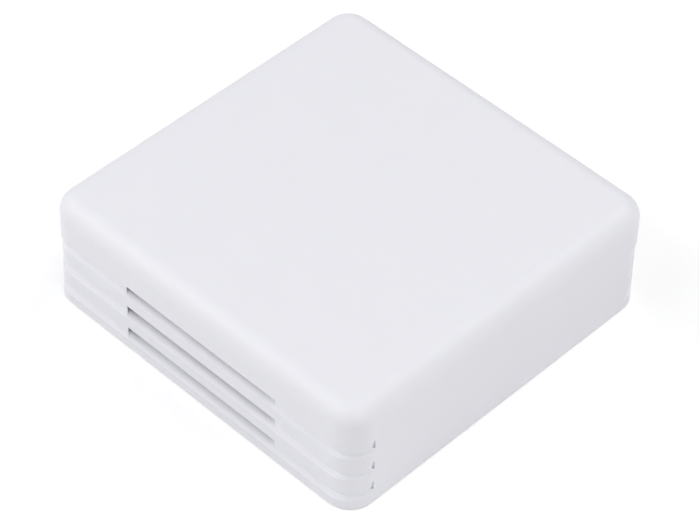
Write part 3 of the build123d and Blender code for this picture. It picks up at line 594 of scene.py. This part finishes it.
def two_part(name, seam, lower, upper, rough, metal_above=False):
    """Two finishes in one part, below and above a seam at a height in metres.

    Lower and upper are a (colour, shade) pair each.
    """
    m, place = new_material(name)
    axes = add_node(m, "SeparateXYZ", {0: (place, "Object")})
    above = add_node(m, "Math", {0: (axes, "Z"), 1: seam}, operation="GREATER_THAN")
    grain = add_node(m, "TexNoise", {"Vector": (place, "Object"), "Scale": 1000 / 0.25,
                                     "Detail": 3.0})
    tones = [add_node(m, "Mix", {0: (grain, "Fac"), 6: linear(pair[0]), 7: linear(pair[1])},
                      data_type="RGBA") for pair in (lower, upper)]
    tone = add_node(m, "Mix", {0: (above, 0), 6: (tones[0], 2), 7: (tones[1], 2)},
                    data_type="RGBA")
    finish(m, tone, grain, rough, swing=0.06, height_mm=0.004,
           Metallic=(above, 0) if metal_above else 0.0)
    return m


# The lid is a thin, bright band over black plastic, and its rivets are black.
paint(two_part("black_body_with_steel_lid", seam=button_top - 0.0003,
               lower=("#1B1B1D", "#242427"), upper=("#BFC1C4", "#AEB0B4"), rough=0.34,
               metal_above=True), "push_button")
# The black plastic is smooth enough for soft, clear highlights on its edges.
black_moulding = moulded_plastic("moulded_black_thermoplastic", "#19191B", "#222225", rough=0.34,
                                 grain_mm=0.3, height_mm=0.004)
paint(black_moulding, "button_cap")
rivet_inset, rivet_radius, leg_spread = 0.75, 0.45, 2.25
rivet_heads = mounds(corners(button_x, button_y, button_reach - rivet_inset,
                             button_reach - rivet_inset), rivet_radius, rivet_radius, height=0.22)
add_piece("button_rivets", black_moulding, "button_black",
          rivet_heads + (0.0, 0.0, button_top - board_top))
add_piece("button_legs", tin_plate, "tinned_copper",
          bent_legs([(button_x + s * (button_reach - leg_root), button_y + t * leg_spread, s)
                     for s in (-1, 1) for t in (-1, 1)],
                    [(0.0, 0.9), (0.3, 0.9), (0.55, 0.08), (1.1, 0.08)],
                    width_mm=0.7, thick_mm=0.2, along_x=True), smooth=False)


# Controller, bus transceiver and regulator: chips on stamped copper lead frames,
# moulded in black epoxy. The leads are tin-plated, cut free and bent.

# The epoxy is filled with quartz flour, so it is a dull grey-black with a very
# fine grain, drawn at 0.12 mm so that it shows.
chip_epoxy = moulded_plastic("transfer_moulded_epoxy", "#1E1E20", "#28282A", rough=0.52,
                             grain_mm=0.12, height_mm=0.006)
paint(chip_epoxy, "microcontroller", "bus_transceiver", "voltage_regulator")
paint(tin_plate, "microcontroller_leads", "transceiver_leads", "regulator_leads")


# Crystal: a quartz plate in a tray of dark fired ceramic, soldered by four
# corner pads. Its plated metal lid is seam-welded on.

# The lid is smooth and mirrors its surroundings softly; the tray is plain brown.
paint(two_part("ceramic_tray_with_plated_lid", seam=board_top + 0.00056,
               lower=("#3B362F", "#463F37"), upper=("#D3CFC3", "#BDB9AD"), rough=0.26,
               metal_above=True), "crystal")


# Status light: a light-emitting diode on a pale carrier, under a lens of cast
# resin. It is soldered by the plated ends of the carrier.

# The lens is glossy and milky, paler than the carrier under it.
paint(two_part("cast_resin_on_carrier", seam=board_top + 0.00028, lower=("#DDD8B8", "#D2CCA8"),
               upper=("#F1EFD2", "#E9E6BE"), rough=0.2), "status_led")


# Filter capacitor: a drawn aluminium can on a black moulded foot. Its top is
# marked black on the negative side and has the pressed cross of a safety vent.

can_low, can_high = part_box("filter_capacitor")
can_middle = (can_low + can_high) / 2


def drawn_can(name, centre, top):
    """Bright aluminium with fine lines round the wall, a black sector and a cross.

    The sector is the part of the top more than 1.2 mm left of the axis. The
    cross is two pressed lines 0.2 mm wide, on the diagonals, within 1.7 mm.
    """
    m, place = new_material(name)
    plain = add_node(m, "SeparateXYZ", {0: (place, "Object")})
    on_top = add_node(m, "Math", {0: (plain, "Z"), 1: top - 0.0001}, operation="GREATER_THAN")
    left = add_node(m, "Math", {0: (plain, "X"), 1: centre.x - 0.0012}, operation="LESS_THAN")
    sector = add_node(m, "Math", {0: (on_top, 0), 1: (left, 0)}, operation="MULTIPLY")
    turned = add_node(m, "Mapping", {"Vector": (place, "Object"),
                                     "Location": (centre.x, centre.y, top),
                                     "Rotation": (0.0, 0.0, math.radians(45))},
                      vector_type="TEXTURE")
    axes = add_node(m, "SeparateXYZ", {0: (turned, 0)})
    away = [add_node(m, "Math", {0: (axes, axis)}, operation="ABSOLUTE") for axis in "XY"]
    narrow = add_node(m, "Math", {0: (away[0], 0), 1: (away[1], 0)}, operation="MINIMUM")
    wide = add_node(m, "Math", {0: (away[0], 0), 1: (away[1], 0)}, operation="MAXIMUM")
    line = add_node(m, "MapRange", {"Value": (narrow, 0), "From Min": 0.00005,
                                    "From Max": 0.00015, "To Min": 1.0, "To Max": 0.0})
    short = add_node(m, "Math", {0: (wide, 0), 1: 0.0017}, operation="LESS_THAN")
    cross = add_node(m, "Math", {0: (line, 0), 1: (short, 0)}, operation="MULTIPLY")
    pressed = add_node(m, "Math", {0: (cross, 0), 1: (on_top, 0)}, operation="MULTIPLY")
    flat = add_node(m, "Mapping", {"Vector": (place, "Object"), "Scale": (0.1, 0.1, 1.0)})
    lines = add_node(m, "TexNoise", {"Vector": (flat, 0), "Scale": 1000 / 0.12, "Detail": 2.0})
    bare = add_node(m, "Mix", {0: (lines, "Fac"), 6: linear("#CFD1D4"), 7: linear("#B9BCC0")},
                    data_type="RGBA")
    tone = add_node(m, "Mix", {0: (sector, 0), 6: (bare, 2), 7: linear("#1C1C1E")},
                    data_type="RGBA")
    metal = add_node(m, "Math", {0: 1.0, 1: (sector, 0)}, operation="SUBTRACT")
    finish(m, tone, lines, rough=0.27, swing=0.07, height_mm=0.002, pressed=(pressed, 0.08),
           Metallic=(metal, 0))
    return m


# Drawing leaves the wall bright, with fine lines round it that streak the light.
paint(drawn_can("drawn_aluminium_can", can_middle, can_high.z), "filter_capacitor")
paint(black_moulding, "capacitor_foot")


# Temperature sensor: a small black epoxy package on the board's slim arm, away
# from the warm parts. A pale, porous membrane covers its round window.

sensor_low, sensor_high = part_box("temperature_sensor")
sensor_middle = (sensor_low + sensor_high) / 2


def windowed_epoxy(name, centre, radius_mm):
    """Black epoxy, and a pale membrane within a radius of an upright axis."""
    m, place = new_material(name)
    flat = add_node(m, "VectorMath", {0: (place, "Object"), 1: (1.0, 1.0, 0.0)},
                    operation="MULTIPLY")
    away = add_node(m, "VectorMath", {0: (flat, 0), 1: (centre.x, centre.y, 0.0)},
                    operation="DISTANCE")
    window = add_node(m, "Math", {0: (away, "Value"), 1: radius_mm / 1000}, operation="LESS_THAN")
    grain = add_node(m, "TexNoise", {"Vector": (place, "Object"), "Scale": 1000 / 0.12,
                                     "Detail": 3.0})
    epoxy = add_node(m, "Mix", {0: (grain, "Fac"), 6: linear("#1B1B1D"), 7: linear("#272729")},
                     data_type="RGBA")
    membrane = add_node(m, "Mix", {0: (grain, "Fac"), 6: linear("#E3E1DA"), 7: linear("#CBC8BE")},
                        data_type="RGBA")
    tone = add_node(m, "Mix", {0: (window, 0), 6: (epoxy, 2), 7: (membrane, 2)},
                    data_type="RGBA")
    finish(m, tone, grain, rough=0.525, swing=0.075, height_mm=0.006, IOR=1.5)
    return m


# A dull black square with a chalk-white, fibrous dot in it.
paint(windowed_epoxy("epoxy_with_membrane_window", sensor_middle, radius_mm=0.55),
      "temperature_sensor")


# Programming header: square brass pins, gold-plated over nickel, pressed through
# a black moulded strip and soldered below the board.

paint(black_moulding, "programming_header")
# A thin gold plating is a warm, bright yellow that shows each pin's flat sides.
gold_plate = fine_grained("gold_plated_brass", "#D9B25A", "#C79C45", rough=0.24,
                          grain_mm=0.3, height_mm=0.003)
paint(gold_plate, "header_pins")


# Chip resistors: a chip of white alumina with a black glazed film on top. Both
# ends are dipped, tin-plated and soldered, and stand a little proud of the body.

chip_length, chip_width, cap_length = 2.0, 1.25, 0.42


def rounded_blocks(places, length, width, radius, bottom, top, edge, steps=4):
    """Upright blocks with rounded plan corners, top and bottom, in millimetres.

    The plan is a rectangle whose corners are quarter circles. Each row is that
    plan drawn in by an inset and set at a height, which follow a quarter circle
    at the bottom and at the top; the first and last rows are drawn together.
    """
    quarter = np.linspace(0, math.pi / 2, steps)
    turn = np.concatenate([quarter + k * math.pi / 2 for k in range(4)])
    side_x, side_y = np.repeat([1, -1, -1, 1], steps), np.repeat([1, 1, -1, -1], steps)
    inset = np.concatenate([edge * (1 - np.sin(quarter)), edge * (1 - np.sin(quarter[::-1]))])
    rise = edge * (1 - np.cos(quarter))
    height = np.concatenate([bottom + rise, top - rise[::-1]])
    bend = np.maximum(radius - inset, 0.002)[:, None]
    x = side_x * (length / 2 - inset[:, None] - bend) + bend * np.cos(turn)
    y = side_y * (width / 2 - inset[:, None] - bend) + bend * np.sin(turn)
    grid = np.stack([x, y, height[:, None] + 0 * x], axis=-1)
    return on_board(np.concatenate([grid[:1] * (0, 0, 1), grid, grid[-1:] * (0, 0, 1)]), places)


def chip_caps(places, top, edge):
    """End caps of small chips: rounded blocks a hair larger than the body."""
    ends = [(x + s * (chip_length - cap_length) / 2, y) for x, y in places for s in (-1, 1)]
    return rounded_blocks(ends, cap_length, chip_width, edge, 0.0, top, edge)


# The film is glossy black like glass, and the alumina shows white at the sides.
glazed_chip = two_part("glazed_film_on_alumina", seam=board_top + 0.00047,
                       lower=("#E6E4DC", "#D8D6CD"), upper=("#18181A", "#222224"), rough=0.26)
resistor_bodies = add_piece("resistor_bodies", glazed_chip, "resistor_film",
                            rounded_blocks(resistor_places, chip_length - 0.1, chip_width - 0.05,
                                           radius=0.06, bottom=0.02, top=0.53, edge=0.04))
resistor_caps = add_piece("resistor_caps", tin_plate, "tinned_copper",
                          chip_caps(resistor_places, top=0.55, edge=0.06))
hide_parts("chip_resistors")
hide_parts("chip_resistors")


# Ceramic capacitors: blocks of fired ceramic, tumbled until their edges are
# round, with the same dipped and tin-plated ends.

# Fired barium titanate is a tan, slightly mottled stone with a dull shine.
fired_ceramic = fine_grained("fired_tan_ceramic", "#B08A5E", "#9C774D", rough=0.42,
                             grain_mm=0.2, height_mm=0.006, metal=0.0)
ceramic_bodies = add_piece("ceramic_bodies", fired_ceramic, "capacitor_ceramic",
                           rounded_blocks(ceramic_places, chip_length - 0.1, chip_width - 0.06,
                                          radius=0.1, bottom=0.03, top=0.92, edge=0.1))
ceramic_caps = add_piece("ceramic_caps", tin_plate, "tinned_copper",
                         chip_caps(ceramic_places, top=0.95, edge=0.12))
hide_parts("ceramic_capacitors")
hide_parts("ceramic_capacitors")


# Floor: a sheet of plain white paper under the object's back. To the camera and
# in reflections it is lifted to the backdrop's white, more so far off, where the
# lamps don't reach. It keeps the object's shadow.

def seen_as(owner, itself, shown):
    """A shader that eyes and reflections see as shown, while all other rays meet it itself."""
    ray = add_node(owner, "LightPath")
    seen = add_node(owner, "Math", {0: (ray, "Is Camera Ray"), 1: (ray, "Is Glossy Ray")},
                    operation="MAXIMUM")
    return add_node(owner, "MixShader", {0: (seen, 0), 1: (itself, 0), 2: (shown, 0)})


def paper_floor(reach, height):
    """A flat square sheet from its four corners, lying at a height."""
    mesh = bpy.data.meshes.new("floor")
    mesh.from_pydata([(s * reach, t * reach, height)
                      for s, t in ((-1, -1), (1, -1), (1, 1), (-1, 1))], [], [(0, 1, 2, 3)])
    floor = bpy.data.objects.new("floor", mesh)
    scene.collection.objects.link(floor)
    m, place = new_material("white_paper")
    fibre = add_node(m, "TexNoise", {"Vector": (place, "Object"), "Scale": 1000 / 2.0,
                                     "Detail": 3.0})
    tone = add_node(m, "Mix", {0: (fibre, "Fac"), 6: linear("#F5F5F5"), 7: linear("#F3F3F3")},
                    data_type="RGBA")
    paper = add_node(m, "BsdfDiffuse", {"Color": (tone, 2)})
    way_off = add_node(m, "VectorMath", {0: (place, "Object")}, operation="LENGTH")
    rise = add_node(m, "MapRange", {"Value": (way_off, "Value"), "From Min": 0.2, "From Max": 0.8,
                                    "To Min": 0.25, "To Max": 1.0})
    lift = add_node(m, "Emission", {"Strength": (rise, "Result")})
    lifted = add_node(m, "AddShader", {0: (paper, 0), 1: (lift, 0)})
    add_node(m, "OutputMaterial", {"Surface": (seen_as(m, paper, lifted), 0)})
    mesh.materials.append(m)


# A hair of air under the back keeps the two from lying in one plane.
paper_floor(reach=3.0, height=cad_low.z - 0.00002)


# Light: four soft boxes stand round the object under a faint, even dome. The two
# strongest are behind its far corner and before its vented side.

world = bpy.data.worlds.new("studio")
scene.world = world
world.use_nodes = True
world.node_tree.nodes.clear()
dome = add_node(world, "Background", {"Color": linear("#F6F7F9"), "Strength": 0.24})
backdrop = add_node(world, "Background", {"Color": linear("#FFFFFF"), "Strength": 1.0})
add_node(world, "OutputWorld", {"Surface": (seen_as(world, dome, backdrop), 0)})


def looking_from(place, back):
    """A camera's or lamp's matrix: it stands at a place and looks against a direction."""
    back = np.array(back) / np.linalg.norm(back)
    side = np.cross((0.0, 0.0, 1.0), back)
    side /= np.linalg.norm(side)
    rows = np.eye(4)
    rows[:3, :3] = np.stack([side, np.cross(back, side), back], axis=1)
    rows[:3, 3] = place
    return Matrix(rows.tolist())


box_size = 0.7
for name, place, watts in (("left_soft_box", (-0.75, -0.35, 0.6), 3.0),
                           ("front_soft_box", (-0.35, -0.75, 0.6), 3.7),
                           ("back_soft_box", (0.3, 0.6, 0.9), 4.7),
                           ("right_soft_box", (0.8, -0.1, 0.6), 3.1)):
    lamp = bpy.data.lights.new(name, "AREA")
    lamp.size, lamp.energy = box_size, watts
    holder = bpy.data.objects.new(name, lamp)
    scene.collection.objects.link(holder)
    holder.matrix_world = looking_from(place, place)


# Camera: 64 cm away, looking down at 46 degrees along the housing's diagonal.
# Its place, angles and focal length give the photographed outline.

azimuth, elevation, roll = map(math.radians, (43.237, 45.834, 1.906))
camera_place = (0.30171, -0.32045, 0.46179)
camera_back = (math.sin(azimuth) * math.cos(elevation),
               -math.cos(azimuth) * math.cos(elevation), math.sin(elevation))
camera = bpy.data.objects.new("camera", bpy.data.cameras.new("camera"))
scene.collection.objects.link(camera)
camera.data.lens, camera.data.sensor_width = 160.758, 36.0
camera.data.sensor_fit = "HORIZONTAL"
camera.data.clip_start, camera.data.clip_end = 0.01, 20.0
camera.matrix_world = looking_from(camera_place, camera_back) @ Matrix.Rotation(roll, 4, "Z")
scene.camera = camera
scene.view_settings.view_transform = "Standard"
